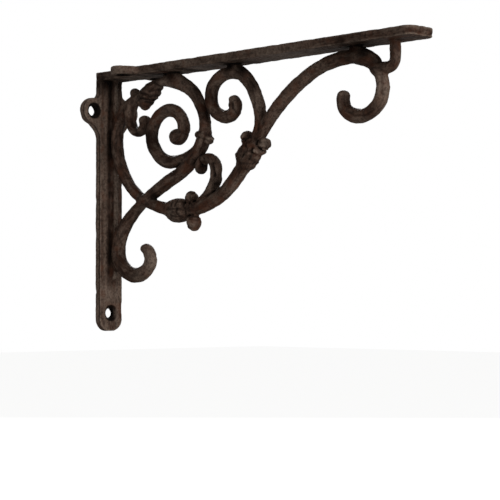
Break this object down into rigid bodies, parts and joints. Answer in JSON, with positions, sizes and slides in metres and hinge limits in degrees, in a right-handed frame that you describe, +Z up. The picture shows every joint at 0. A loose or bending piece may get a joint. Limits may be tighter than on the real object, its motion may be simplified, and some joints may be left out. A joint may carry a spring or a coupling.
{
  "type": "plant hanger bracket",
  "caption": "Scrolled cast-iron wall bracket with a flat top arm, a wall strap and carved leaf buds, for a shelf or a hanging plant.",
  "frame": {"origin": "middle of the wall strap's back face, where it rests on the wall", "axes": "+X out from the wall along the shelf arm, +Y sideways, +Z up"},
  "size_m": [0.2445, 0.041, 0.152],
  "materials": {
    "cast_iron": "dark brown painted and rubbed cast iron, satin"
  },
  "bodies": {
    "root": {"bracket": "cast_iron"}
  },
  "joints": []
}
